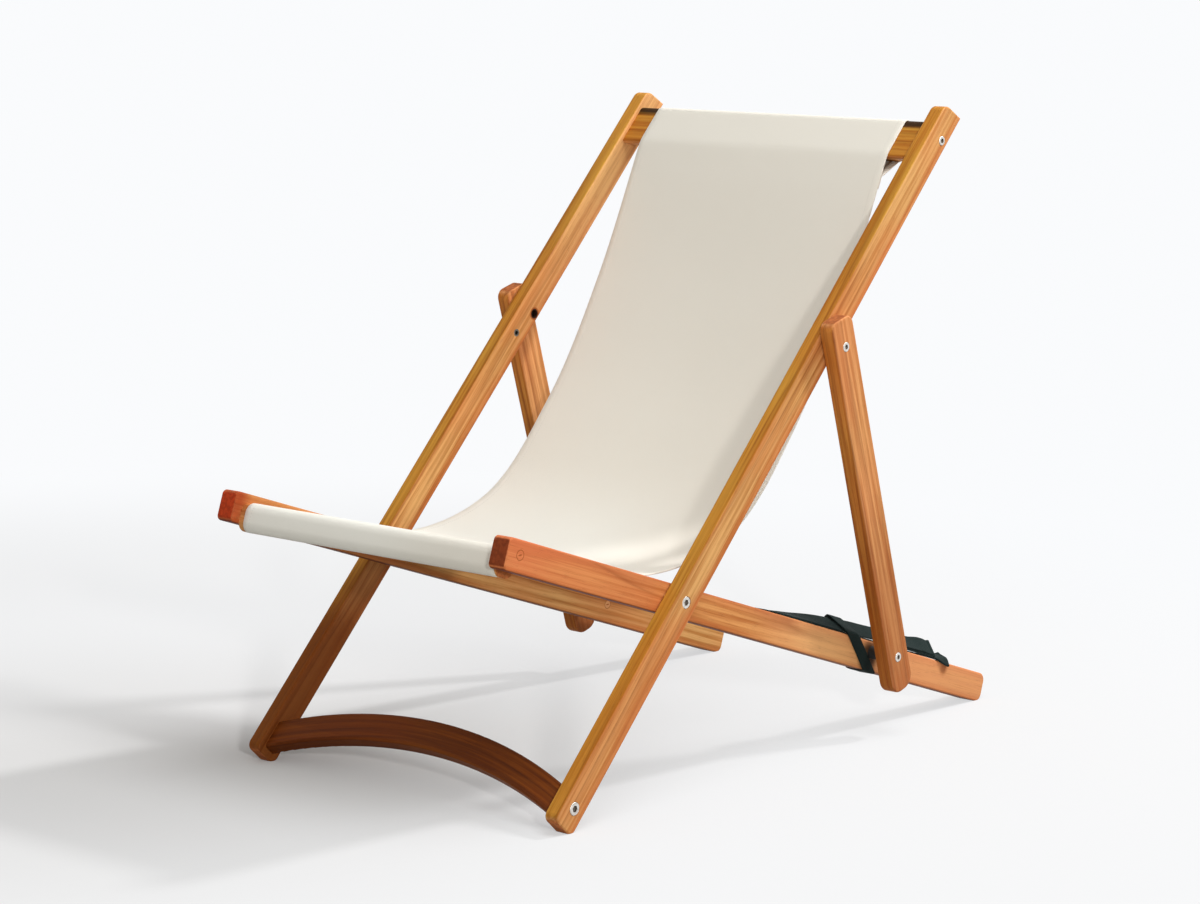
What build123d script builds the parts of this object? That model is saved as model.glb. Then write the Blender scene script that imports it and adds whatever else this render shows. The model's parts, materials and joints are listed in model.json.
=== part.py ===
from build123d import *
import os
from math import asin, atan2, cos, degrees, hypot, radians, sin, tan

os.makedirs("parts", exist_ok=True)

# Folding sling deck chair: a back frame and a seat frame cross like scissors on two
# pivot bolts, and two props hold the back frame up. Millimetres, +Z up, -Y is the front.
# The origin is on the floor, in the middle of the chair's length and width.

# Whole chair
frame_width = 564.0
recline_angle = 46.4
foot_flat_depth = 1.5
edge_radius = 2.5
bore_clearance = 0.05
thrust_gap = 0.2
cut_overrun = 1.0
loose_gap = 0.3

# Back rails, measured along the rail from the pivot
back_rail_width = 42.0
back_rail_thickness = 22.0
back_rail_lower = 346.0
back_rail_upper = 842.0
back_top_slope = 9.0
back_foot_radius = 10.0
back_top_radius = 16.0

# Seat rails, measured along the rail from the pivot
seat_rail_width = 42.0
seat_rail_thickness = 28.0
seat_rail_front = 333.0
seat_rail_rear = 750.0
seat_front_radius = 7.0
seat_rear_radius = 12.0
rail_gap = 1.0

# Top rail, a board between the back rails with its underside bevelled to the rear
top_rail_height = 72.0
top_rail_thickness = 30.0
top_rail_setback = 7.0
top_rail_from_pivot = 737.0
top_rail_edge = 9.0
top_rail_bevel = 18.0
top_rail_tip_radius = 4.0

# Arched foot rail, a board sawn to a curve between the feet of the back rails
foot_rail_height = 42.0
foot_rail_thickness = 22.0
foot_rail_rise = 50.0
foot_rail_end_above_foot = 10.0
foot_rail_edge = 4.0

# Front rail of the seat, inside the sling's front sleeve
front_rail_depth = 34.0
front_rail_height = 38.0
front_rail_from_end = 32.0
front_rail_drop = 10.0
front_rail_radius = 13.0

# Props
prop_width = 47.0
prop_thickness = 22.0
prop_gap = 1.0
prop_top_beyond = 40.0
prop_foot_beyond = 51.0
prop_top_radius = 13.0
prop_foot_radius = 19.0
prop_top_along = 431.0
prop_top_setback = 11.0
prop_foot_along = 457.0
prop_foot_lift = 6.0
recline_hole_pitch = 44.0

# Sling
sling_side_clearance = 6.0
sling_thickness = 1.6
sling_front_dip = 3.0
sling_top_rise = 18.0
sling_front_pull_share = 0.54
sling_top_pull_share = 0.58

# Carry strap, lying on the right seat rail, and the loop that holds it
strap_width = 25.0
strap_height = 22.0
strap_shoulder = 3.0
strap_ridge_width = 8.0
strap_start = 206.0
strap_end = 652.0
strap_flap_start = 614.0
strap_flap_drop = 5.0
loop_width = 36.0
loop_thickness = 2.5
loop_over_rail = 18.5
loop_ridge_width = 15.0
loop_from_prop_foot = 37.0

# Fasteners
pivot_bolt_radius = 4.0
pivot_head_radius = 8.0
pivot_head_height = 4.0
bolt_radius = 3.0
bolt_head_radius = 6.5
foot_bolt_head_radius = 8.6
bolt_head_height = 3.5
head_recess_clearance = 0.4
head_stand = 0.6
socket_share = 0.55
socket_depth = 2.0
head_rounding = 0.8
nut_height = 6.0
nut_radius = 5.8
foot_pocket_depth = 13.0
foot_pocket_radius = 6.6
pivot_nut_height = 6.5
pivot_nut_radius = 7.0
nut_pocket_depth = 14.0
nut_pocket_radius = 8.0
nut_plug_thickness = 4.0
nut_thread_overrun = 1.5
washer_thickness = 1.2
washer_rim = 3.0
pivot_washer_rim = 7.0
insert_radius = 5.5
insert_length = 14.0
rail_bolt_length = 50.0
top_bolt_rise = 17.0
top_bolt_setback = 8.0
foot_bolt_above_foot = 30.0
dowel_radius = 4.0
dowel_length = 40.0
dowel_depth_in_rail = 14.0
top_dowel_from_bolt = 20.0
foot_dowel_from_bolt = 12.0
dowel_chamfer = 1.0
screw_radius = 2.5
screw_head_radius = 4.5
screw_head_height = 3.0
screw_length = 70.0
plug_radius = 7.0
plug_depth = 6.0
screw_forward = 8.0
screw_lift = 12.0
spacer_radius = 9.0

# Where each layer stands, from the middle of the chair outwards
back_outer_x = frame_width / 2
back_inner_x = back_outer_x - back_rail_thickness
seat_outer_x = back_inner_x - rail_gap
seat_inner_x = seat_outer_x - seat_rail_thickness
sling_width = 2 * (seat_inner_x - sling_side_clearance)
prop_inner_x = back_outer_x + prop_gap
prop_outer_x = prop_inner_x + prop_thickness
half_back_width = back_rail_width / 2
half_seat_width = seat_rail_width / 2

# The pivot's height puts the rounded back feet on the floor, and the seat rails
# then slope down until their rounded rear ends meet it too
back_angle = radians(recline_angle)
pivot_z = (
    (back_rail_lower - back_foot_radius) * sin(back_angle)
    + (half_back_width - back_foot_radius) * cos(back_angle)
    + back_foot_radius
    - foot_flat_depth
)
rear_corner_along = seat_rail_rear - seat_rear_radius
rear_corner_across = half_seat_width - seat_rear_radius
rear_corner_drop = pivot_z + foot_flat_depth - seat_rear_radius
seat_angle = asin(rear_corner_drop / hypot(rear_corner_along, rear_corner_across)) - atan2(
    rear_corner_across, rear_corner_along
)

# The pivot's place along the chair centres the chair's length on the origin
front_reach = (
    (seat_rail_front - seat_front_radius) * cos(seat_angle)
    + (half_seat_width - seat_front_radius) * sin(seat_angle)
    + seat_front_radius
)
rear_reach = (
    rear_corner_along * cos(seat_angle)
    + rear_corner_across * sin(seat_angle)
    + seat_rear_radius
)
pivot_y = (front_reach - rear_reach) / 2

# Both planes face +X with their origin at the pivot. On back_plane local X runs up
# the back rail and local Y to its front edge. On seat_plane local X runs to the
# rear end of the seat rail and local Y to its top edge.
back_plane = Plane(
    origin=(0, pivot_y, pivot_z),
    x_dir=(0, cos(back_angle), sin(back_angle)),
    z_dir=(1, 0, 0),
)
seat_plane = Plane(
    origin=(0, pivot_y, pivot_z),
    x_dir=(0, cos(seat_angle), -sin(seat_angle)),
    z_dir=(1, 0, 0),
)
floor_plane = Plane.XY

# The prop runs from its foot bolt on the seat rail to its top bolt on the back rail
prop_top = back_plane.from_local_coords((prop_top_along, -prop_top_setback, 0))
prop_foot = seat_plane.from_local_coords((prop_foot_along, prop_foot_lift, 0))
prop_run = prop_top - prop_foot
prop_span = prop_run.length
prop_plane = Plane(origin=prop_foot, x_dir=prop_run, z_dir=(1, 0, 0))

# Places on the back rails
top_rail_centre_along = top_rail_from_pivot + top_rail_height / 2
top_rail_front = half_back_width - top_rail_setback
top_rail_centre_front = top_rail_front - top_rail_thickness / 2
top_bolt_along = top_rail_centre_along + top_bolt_rise
top_dowel_along = top_bolt_along - top_dowel_from_bolt
foot_bolt_along = foot_bolt_above_foot - back_rail_lower
foot_dowel_along = foot_bolt_along + foot_dowel_from_bolt
spare_hole_along = prop_top_along - recline_hole_pitch

# Places on the seat rails
front_rail_along = front_rail_from_end - seat_rail_front
front_screw_along = front_rail_along - screw_forward
front_screw_across = screw_lift - front_rail_drop
loop_along = prop_foot_along - loop_from_prop_foot

# Where the fasteners end, and the nuts' outer faces, on the +X side
rail_bolt_end_x = back_outer_x + head_stand - bolt_head_height - rail_bolt_length
dowel_depth_in_board = dowel_length - dowel_depth_in_rail + loose_gap
nut_pocket_floor_x = seat_inner_x + nut_pocket_depth
pivot_nut_outer_x = nut_pocket_floor_x - thrust_gap - washer_thickness
pivot_bolt_end_x = pivot_nut_outer_x - pivot_nut_height - nut_thread_overrun
foot_pocket_floor_x = seat_inner_x + foot_pocket_depth
foot_nut_outer_x = foot_pocket_floor_x - washer_thickness
foot_bolt_end_x = foot_nut_outer_x - nut_height - nut_thread_overrun
screw_end_x = seat_outer_x - plug_depth - screw_head_height - screw_length

bolt_bore = bolt_radius + bore_clearance
pivot_bore = pivot_bolt_radius + bore_clearance
dowel_bore = dowel_radius + bore_clearance
screw_bore = screw_radius + bore_clearance
head_recess_depth = bolt_head_height - head_stand


def at(plane, along, across):
    """The plane moved within itself, so its origin is a point of the side view."""
    return Plane(
        origin=plane.from_local_coords((along, across, 0)), x_dir=plane.x_dir, z_dir=plane.z_dir
    )


def write(piece, name):
    piece.part.label = name
    export_step(piece.part, f"parts/{name}.step")


def write_other_side(piece, name):
    with BuildPart() as other:
        add(mirror(piece.part, about=Plane.YZ, mode=Mode.PRIVATE))
    write(other, name)


def bore(place, radius, start_x, end_x):
    """A round hole along X through the part being built."""
    with BuildSketch(place.offset(start_x)) as hole:
        Circle(radius)
    extrude(hole.sketch, amount=end_x - start_x, mode=Mode.SUBTRACT)


def through_bore(place, radius, inner_x, outer_x):
    bore(place, radius, inner_x - cut_overrun, outer_x + cut_overrun)


def round_long_edges(piece, radius):
    fillet(piece.faces().filter_by(Axis.X).edges(), radius)


def stand_on_floor():
    split(bisect_by=floor_plane, keep=Keep.TOP)


def headed_bolt(place, head_outer_x, shank_end_x, shank, head, head_height):
    """A socket-head bolt whose head faces outwards, added to the part being built."""
    head_inner_x = head_outer_x - head_height
    with BuildSketch(place.offset(head_inner_x)) as head_face:
        Circle(head)
    head_solid = extrude(head_face.sketch, amount=head_height)
    fillet(head_solid.faces().sort_by(Axis.X)[-1].edges(), head_rounding)
    with BuildSketch(place.offset(shank_end_x)) as shank_face:
        Circle(shank)
    extrude(shank_face.sketch, amount=head_inner_x - shank_end_x)
    with BuildSketch(place.offset(head_outer_x)) as socket:
        RegularPolygon(head * socket_share, 6)
    extrude(socket.sketch, amount=-socket_depth, mode=Mode.SUBTRACT)


def end_bores(place, radius, end_x, depth):
    """Blind holes along X into both ends of the cross rail being built."""
    bore(place, radius, end_x - depth, end_x + cut_overrun)
    bore(place, radius, depth - end_x, -end_x - cut_overrun)


def ring(place, inner_x, length, outer_radius, inner_radius):
    """A washer, spacer or insert along X, added to the part being built."""
    with BuildSketch(place.offset(inner_x)) as section:
        Circle(outer_radius)
        Circle(inner_radius, mode=Mode.SUBTRACT)
    extrude(section.sketch, amount=length)


def hex_nut(place, inner_x, height, radius, inner_radius):
    with BuildSketch(place.offset(inner_x)) as section:
        RegularPolygon(radius, 6)
        Circle(inner_radius, mode=Mode.SUBTRACT)
    extrude(section.sketch, amount=height)


pivot_place = at(back_plane, 0, 0)
prop_top_place = at(prop_plane, prop_span, 0)
prop_foot_place = at(prop_plane, 0, 0)
insert_place = at(back_plane, prop_top_along, -prop_top_setback)
spare_place = at(back_plane, spare_hole_along, 0)
top_bolt_place = at(back_plane, top_bolt_along, -top_bolt_setback)
top_dowel_place = at(back_plane, top_dowel_along, top_rail_centre_front)
foot_bolt_place = at(back_plane, foot_bolt_along, 0)
foot_dowel_place = at(back_plane, foot_dowel_along, 0)
front_screw_place = at(seat_plane, front_screw_along, front_screw_across)
seat_foot_bolt_place = at(seat_plane, prop_foot_along, prop_foot_lift)

# Back rails: square feet with rounded corners, and a top sawn nearly level
with BuildPart() as back_rail_right:
    with BuildSketch(back_plane.offset(back_inner_x)):
        with BuildLine():
            Polyline(
                (-back_rail_lower, -half_back_width),
                (back_rail_upper, -half_back_width),
                (back_rail_upper - back_top_slope, half_back_width),
                (-back_rail_lower, half_back_width),
                close=True,
            )
        make_face()
        fillet(vertices().group_by(Axis.X)[0], back_foot_radius)
        fillet(vertices().group_by(Axis.Y)[-1].sort_by(Axis.X)[-1], back_top_radius)
    extrude(amount=back_rail_thickness)
    round_long_edges(back_rail_right, edge_radius)
    stand_on_floor()
    through_bore(pivot_place, pivot_bore, back_inner_x, back_outer_x)
    bore(
        pivot_place,
        pivot_head_radius + head_recess_clearance,
        back_outer_x - pivot_head_height - thrust_gap,
        back_outer_x + cut_overrun,
    )
    through_bore(insert_place, insert_radius, back_inner_x, back_outer_x)
    bore(
        spare_place,
        insert_radius,
        back_inner_x - cut_overrun,
        back_inner_x + insert_length + loose_gap,
    )
    for place, head_radius in (
        (top_bolt_place, bolt_head_radius),
        (foot_bolt_place, foot_bolt_head_radius),
    ):
        through_bore(place, bolt_bore, back_inner_x, back_outer_x)
        bore(
            place,
            head_radius + head_recess_clearance,
            back_outer_x - head_recess_depth,
            back_outer_x + cut_overrun,
        )
    for place in (top_dowel_place, foot_dowel_place):
        bore(place, dowel_bore, back_inner_x - cut_overrun, back_inner_x + dowel_depth_in_rail)
write(back_rail_right, "back_rail_right")
write_other_side(back_rail_right, "back_rail_left")

# Top rail
top_rail_place = at(back_plane, top_rail_centre_along, top_rail_centre_front)


def top_rail_section():
    """The section of the top rail, added to the sketch being built."""
    with BuildLine() as outline:
        Polyline(
            (-top_rail_height / 2, top_rail_thickness / 2),
            (top_rail_height / 2, top_rail_thickness / 2),
            (top_rail_height / 2, -top_rail_thickness / 2),
            (top_rail_bevel - top_rail_height / 2, -top_rail_thickness / 2),
            close=True,
        )
    make_face(outline.edges())
    fillet(vertices().group_by(Axis.Y)[0], top_rail_edge)
    fillet(vertices().group_by(Axis.X)[-1].sort_by(Axis.Y)[-1], top_rail_edge)
    fillet(vertices().group_by(Axis.X)[0], top_rail_tip_radius)


with BuildPart() as top_rail:
    with BuildSketch(top_rail_place):
        top_rail_section()
    extrude(amount=back_inner_x, both=True)
    end_bores(top_bolt_place, bolt_bore, back_inner_x, back_inner_x - rail_bolt_end_x + loose_gap)
    end_bores(top_dowel_place, dowel_bore, back_inner_x, dowel_depth_in_board)
write(top_rail, "top_rail")

# Foot rail, its outline drawn in the plane of the back frame
foot_rail_end = foot_rail_end_above_foot - back_rail_lower
frame_face = Plane(
    origin=back_plane.origin, x_dir=(1, 0, 0), z_dir=back_plane.y_dir
).offset(-foot_rail_thickness / 2)
with BuildPart() as arched_foot_rail:
    with BuildSketch(frame_face):
        with BuildLine():
            lower = ThreePointArc(
                (-back_inner_x, foot_rail_end),
                (0, foot_rail_end + foot_rail_rise),
                (back_inner_x, foot_rail_end),
            )
            upper = ThreePointArc(
                (-back_inner_x, foot_rail_end + foot_rail_height),
                (0, foot_rail_end + foot_rail_height + foot_rail_rise),
                (back_inner_x, foot_rail_end + foot_rail_height),
            )
            Line(lower @ 0, upper @ 0)
            Line(lower @ 1, upper @ 1)
        make_face()
    extrude(amount=foot_rail_thickness)
    fillet(edges().filter_by(GeomType.CIRCLE), foot_rail_edge)
    end_bores(foot_bolt_place, bolt_bore, back_inner_x, back_inner_x - rail_bolt_end_x + loose_gap)
    end_bores(foot_dowel_place, dowel_bore, back_inner_x, dowel_depth_in_board)
write(arched_foot_rail, "arched_foot_rail")

# Bolts and dowels that hold the two cross rails between the back rails
for name, place, head_radius in (
    ("top_rail_bolts", top_bolt_place, bolt_head_radius),
    ("foot_rail_bolts", foot_bolt_place, foot_bolt_head_radius),
):
    with BuildPart() as rail_bolts:
        headed_bolt(
            place,
            back_outer_x + head_stand,
            rail_bolt_end_x,
            bolt_radius,
            head_radius,
            bolt_head_height,
        )
        mirror(about=Plane.YZ)
    write(rail_bolts, name)

for name, place in (("top_rail_dowels", top_dowel_place), ("foot_rail_dowels", foot_dowel_place)):
    with BuildPart() as dowels:
        with BuildSketch(place.offset(back_inner_x + dowel_depth_in_rail - dowel_length)):
            Circle(dowel_radius)
        extrude(amount=dowel_length)
        chamfer(edges(), dowel_chamfer)
        mirror(about=Plane.YZ)
    write(dowels, name)

# Threaded inserts in the back rails: one for each prop's top bolt, let in from outside,
# and a spare one for a second setting, let in from inside
with BuildPart() as prop_inserts:
    for place, inner_x in (
        (insert_place, back_outer_x - insert_length),
        (spare_place, back_inner_x),
    ):
        ring(place, inner_x, insert_length, insert_radius - bore_clearance, bolt_radius)
    mirror(about=Plane.YZ)
write(prop_inserts, "prop_inserts")

# Pivot bolts with the washers between the rails, and the washers and nuts that lie in
# pockets in the seat rails
with BuildPart() as pivot_bolts:
    headed_bolt(
        pivot_place,
        back_outer_x - thrust_gap,
        pivot_bolt_end_x,
        pivot_bolt_radius,
        pivot_head_radius,
        pivot_head_height,
    )
    mirror(about=Plane.YZ)
write(pivot_bolts, "pivot_bolts")

with BuildPart() as pivot_washers:
    ring(
        pivot_place,
        seat_outer_x + thrust_gap,
        rail_gap - thrust_gap,
        pivot_bolt_radius + pivot_washer_rim,
        pivot_bore,
    )
    mirror(about=Plane.YZ)
write(pivot_washers, "pivot_washers")

with BuildPart() as pivot_end_washers:
    ring(
        pivot_place,
        pivot_nut_outer_x,
        washer_thickness,
        pivot_bolt_radius + washer_rim,
        pivot_bore,
    )
    mirror(about=Plane.YZ)
write(pivot_end_washers, "pivot_end_washers")

with BuildPart() as pivot_nuts:
    hex_nut(
        pivot_place,
        pivot_nut_outer_x - pivot_nut_height,
        pivot_nut_height,
        pivot_nut_radius,
        pivot_bore,
    )
    mirror(about=Plane.YZ)
write(pivot_nuts, "pivot_nuts")

# Seat rails
with BuildPart() as seat_rail_right:
    with BuildSketch(seat_plane.offset(seat_inner_x)):
        with BuildLine():
            Polyline(
                (-seat_rail_front, -half_seat_width),
                (seat_rail_rear, -half_seat_width),
                (seat_rail_rear, half_seat_width),
                (-seat_rail_front, half_seat_width),
                close=True,
            )
        make_face()
        fillet(vertices().group_by(Axis.X)[0], seat_front_radius)
        fillet(vertices().group_by(Axis.X)[-1], seat_rear_radius)
    extrude(amount=seat_rail_thickness)
    round_long_edges(seat_rail_right, edge_radius)
    stand_on_floor()
    through_bore(pivot_place, pivot_bore, seat_inner_x, seat_outer_x)
    bore(pivot_place, nut_pocket_radius, seat_inner_x - cut_overrun, nut_pocket_floor_x)
    through_bore(seat_foot_bolt_place, bolt_bore, seat_inner_x, seat_outer_x)
    bore(
        seat_foot_bolt_place,
        foot_pocket_radius,
        seat_inner_x - cut_overrun,
        foot_pocket_floor_x,
    )
    through_bore(front_screw_place, screw_bore, seat_inner_x, seat_outer_x)
    bore(
        front_screw_place,
        plug_radius,
        seat_outer_x - plug_depth - screw_head_height,
        seat_outer_x + cut_overrun,
    )
write(seat_rail_right, "seat_rail_right")
write_other_side(seat_rail_right, "seat_rail_left")

# Wooden plugs that close the pockets of the nuts
for name, place, pocket_radius in (
    ("pivot_plugs", pivot_place, nut_pocket_radius),
    ("prop_foot_plugs", seat_foot_bolt_place, foot_pocket_radius),
):
    with BuildPart() as nut_plugs:
        with BuildSketch(place.offset(seat_inner_x)):
            Circle(pocket_radius - bore_clearance)
        extrude(amount=nut_plug_thickness)
        mirror(about=Plane.YZ)
    write(nut_plugs, name)

# Front rail with its screws and the wooden plugs that cover their heads
front_rail_place = at(seat_plane, front_rail_along, -front_rail_drop)


def front_rail_section():
    """The section of the front rail, added to the sketch being built."""
    RectangleRounded(front_rail_depth, front_rail_height, front_rail_radius)


with BuildPart() as front_rail:
    with BuildSketch(front_rail_place):
        front_rail_section()
    extrude(amount=seat_inner_x, both=True)
    end_bores(front_screw_place, screw_bore, seat_inner_x, seat_inner_x - screw_end_x + loose_gap)
write(front_rail, "front_rail")

with BuildPart() as front_rail_screws:
    with BuildSketch(front_screw_place.offset(screw_end_x)):
        Circle(screw_radius)
    extrude(amount=screw_length)
    with BuildSketch(front_screw_place.offset(screw_end_x + screw_length)):
        Circle(screw_head_radius)
    extrude(amount=screw_head_height - loose_gap)
    mirror(about=Plane.YZ)
write(front_rail_screws, "front_rail_screws")

with BuildPart() as front_rail_plugs:
    with BuildSketch(front_screw_place.offset(seat_outer_x - plug_depth)):
        Circle(plug_radius - bore_clearance)
    extrude(amount=plug_depth)
    mirror(about=Plane.YZ)
write(front_rail_plugs, "front_rail_plugs")

# Sling: one sheet with a sleeve at each end, hanging in a curve between the rails
sleeve_gap = loose_gap
front_sleeve_radius = front_rail_radius + sleeve_gap + sling_thickness / 2
top_sleeve_radius = top_rail_tip_radius + sleeve_gap + sling_thickness / 2
top_tip_half_angle = atan2(top_rail_thickness, top_rail_bevel) / 2
top_tip_along = top_rail_from_pivot + top_rail_tip_radius / tan(top_tip_half_angle)
front_dip = radians(sling_front_dip)
top_rise = radians(sling_top_rise)
front_leave = seat_plane.from_local_coords(
    (
        front_rail_along + front_rail_depth / 2 - front_rail_radius
        + front_sleeve_radius * sin(front_dip),
        front_rail_height / 2 - front_rail_drop - front_rail_radius
        + front_sleeve_radius * cos(front_dip),
        0,
    )
)
top_arrive = back_plane.from_local_coords(
    (
        top_tip_along - top_sleeve_radius * sin(top_rise),
        top_rail_front - top_rail_tip_radius + top_sleeve_radius * cos(top_rise),
        0,
    )
)
sling_chord = hypot(top_arrive.Y - front_leave.Y, top_arrive.Z - front_leave.Z)
front_pull = sling_chord * sling_front_pull_share
top_pull = sling_chord * sling_top_pull_share
sling_path = (
    (front_leave.Y, front_leave.Z),
    (
        front_leave.Y + front_pull * cos(seat_angle + front_dip),
        front_leave.Z - front_pull * sin(seat_angle + front_dip),
    ),
    (
        top_arrive.Y - top_pull * cos(back_angle + top_rise),
        top_arrive.Z - top_pull * sin(back_angle + top_rise),
    ),
    (top_arrive.Y, top_arrive.Z),
)


def sleeve(place, rail_section):
    """The closed loop of cloth round one rail, added to the part being built."""
    for growth, mode in ((sleeve_gap + sling_thickness, Mode.ADD), (sleeve_gap, Mode.SUBTRACT)):
        with BuildSketch(place) as section:
            rail_section()
            offset(amount=growth)
        extrude(section.sketch, amount=sling_width / 2, both=True, mode=mode)


with BuildPart() as sling:
    sleeve(front_rail_place, front_rail_section)
    sleeve(top_rail_place, top_rail_section)
    with BuildSketch(Plane.YZ):
        with BuildLine():
            Bezier(*sling_path)
        trace(line_width=sling_thickness)
    extrude(amount=sling_width / 2, both=True)
write(sling, "sling")

# Carry strap along the top of the right seat rail. It lies on its side, rises to the loop
# and is bunched behind the prop.
seat_middle_x = seat_outer_x - seat_rail_thickness / 2


def across_seat_rail(along):
    """A plane square to the right seat rail, local Y up, facing its front end."""
    return Plane(
        origin=at(seat_plane, along, 0).origin + Vector(seat_middle_x, 0, 0),
        x_dir=(1, 0, 0),
        z_dir=-seat_plane.x_dir,
    )


def leaning_section(half_width, low, shoulder, ridge_width, top):
    """A section whose outer side leans in above its shoulder, added to the sketch."""
    with BuildLine() as outline:
        Polyline(
            (-half_width, low),
            (half_width, low),
            (half_width, shoulder),
            (ridge_width - half_width, top),
            (-half_width, top),
            close=True,
        )
    make_face(outline.edges())


strap_inner_x = seat_middle_x - strap_width / 2
strap_outer_x = strap_inner_x + strap_width
strap_bed = half_seat_width + loose_gap
flap_outer_x = seat_outer_x + loose_gap + loop_thickness
strap_length = strap_end - strap_start
strap_top_shares = (
    (0.0, 0.07),
    (0.12, 0.34),
    (0.28, 0.60),
    (0.50, 0.77),
    (0.72, 0.77),
    (0.82, 1.0),
    (0.90, 0.56),
    (1.0, 0.38),
)
with BuildPart() as carry_strap:
    with BuildSketch(seat_plane.offset(strap_inner_x)):
        with BuildLine():
            strap_top = Spline(
                *(
                    (
                        strap_start + strap_length * length_share,
                        strap_bed + strap_height * height_share,
                    )
                    for length_share, height_share in strap_top_shares
                )
            )
            Polyline(
                strap_top @ 1,
                (strap_end, strap_bed),
                (strap_start, strap_bed),
                strap_top @ 0,
            )
        make_face()
    extrude(amount=strap_width)
    with BuildSketch(across_seat_rail(strap_end + cut_overrun)):
        leaning_section(
            strap_width / 2,
            strap_bed,
            strap_bed + strap_shoulder,
            strap_ridge_width,
            strap_bed + strap_height + cut_overrun,
        )
    extrude(amount=strap_length + 2 * cut_overrun, mode=Mode.INTERSECT)
    with BuildSketch(seat_plane.offset(strap_outer_x - loose_gap)):
        with Locations((strap_flap_start, strap_bed)):
            Rectangle(strap_end - strap_flap_start, strap_shoulder, align=(Align.MIN, Align.MIN))
    extrude(amount=flap_outer_x - strap_outer_x + loose_gap)
    with BuildSketch(seat_plane.offset(seat_outer_x + loose_gap)):
        with Locations((strap_flap_start, strap_bed + strap_shoulder)):
            Rectangle(
                strap_end - strap_flap_start,
                strap_shoulder + strap_flap_drop,
                align=(Align.MIN, Align.MAX),
            )
    extrude(amount=loop_thickness)
write(carry_strap, "carry_strap")

# Loop of the same cloth round the rail and the strap
loop_place = across_seat_rail(loop_along + loop_width / 2)
with BuildPart() as strap_loop:
    for growth, mode in ((loop_thickness, Mode.ADD), (0, Mode.SUBTRACT)):
        with BuildSketch(loop_place):
            leaning_section(
                seat_rail_thickness / 2 + loose_gap,
                -half_seat_width - loose_gap,
                strap_bed + strap_shoulder + loose_gap,
                loop_ridge_width,
                half_seat_width + loop_over_rail,
            )
            if growth:
                offset(amount=growth)
        extrude(amount=loop_width, mode=mode)
write(strap_loop, "strap_loop")

# Foot bolts of the props, with the spacers that fill the space beside the seat rails
with BuildPart() as prop_foot_bolts:
    headed_bolt(
        seat_foot_bolt_place,
        prop_outer_x + head_stand,
        foot_bolt_end_x,
        bolt_radius,
        bolt_head_radius,
        bolt_head_height,
    )
    mirror(about=Plane.YZ)
write(prop_foot_bolts, "prop_foot_bolts")

with BuildPart() as prop_foot_spacers:
    ring(
        seat_foot_bolt_place,
        seat_outer_x,
        prop_inner_x - thrust_gap - seat_outer_x,
        spacer_radius,
        bolt_bore,
    )
    mirror(about=Plane.YZ)
write(prop_foot_spacers, "prop_foot_spacers")

with BuildPart() as prop_foot_washers:
    ring(
        seat_foot_bolt_place,
        foot_nut_outer_x,
        washer_thickness,
        bolt_radius + washer_rim,
        bolt_bore,
    )
    mirror(about=Plane.YZ)
write(prop_foot_washers, "prop_foot_washers")

with BuildPart() as prop_foot_nuts:
    hex_nut(seat_foot_bolt_place, foot_nut_outer_x - nut_height, nut_height, nut_radius, bolt_bore)
    mirror(about=Plane.YZ)
write(prop_foot_nuts, "prop_foot_nuts")

# Props, each with its own top bolt and the washer that keeps it off the back rail
with BuildPart() as prop_right:
    with BuildSketch(prop_plane.offset(prop_inner_x)):
        with Locations(((prop_span + prop_top_beyond - prop_foot_beyond) / 2, 0)):
            Rectangle(prop_span + prop_top_beyond + prop_foot_beyond, prop_width)
        fillet(vertices().group_by(Axis.X)[0], prop_foot_radius)
        fillet(vertices().group_by(Axis.X)[-1], prop_top_radius)
    extrude(amount=prop_thickness)
    round_long_edges(prop_right, edge_radius)
    for place, floor_gap in ((prop_top_place, 0), (prop_foot_place, thrust_gap)):
        through_bore(place, bolt_bore, prop_inner_x, prop_outer_x)
        bore(
            place,
            bolt_head_radius + head_recess_clearance,
            prop_outer_x - head_recess_depth - floor_gap,
            prop_outer_x + cut_overrun,
        )
write(prop_right, "prop_right")
write_other_side(prop_right, "prop_left")

with BuildPart() as prop_top_bolt_right:
    headed_bolt(
        prop_top_place,
        prop_outer_x + head_stand,
        back_outer_x + loose_gap,
        bolt_radius,
        bolt_head_radius,
        bolt_head_height,
    )
write(prop_top_bolt_right, "prop_top_bolt_right")
write_other_side(prop_top_bolt_right, "prop_top_bolt_left")

with BuildPart() as prop_top_washer_right:
    ring(
        prop_top_place,
        back_outer_x + loose_gap,
        prop_gap - loose_gap,
        bolt_radius + washer_rim + washer_rim,
        bolt_bore,
    )
write(prop_top_washer_right, "prop_top_washer_right")
write_other_side(prop_top_washer_right, "prop_top_washer_left")

# How far the frame folds before the sling's front sleeve meets the foot rail
roll_across = front_rail_height / 2 + front_rail_drop + sleeve_gap + sling_thickness
print("pivot y, z", round(pivot_y, 3), round(pivot_z, 3))
print("prop foot", round(prop_foot.Y, 3), round(prop_foot.Z, 3))
print("prop top", round(prop_top.Y, 3), round(prop_top.Z, 3), "span", round(prop_span, 3))
print("seat slope", round(degrees(seat_angle), 3))
print("between rails", round(recline_angle + degrees(seat_angle), 3))
print("front roll below rail line", round(roll_across, 3))
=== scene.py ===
import json
from bisect import bisect
from math import asin, atan2, cos, degrees, hypot, pi, radians, sin

import bmesh
import bpy
from mathutils import Euler, Matrix, Vector, noise
from mathutils.geometry import interpolate_bezier


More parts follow.
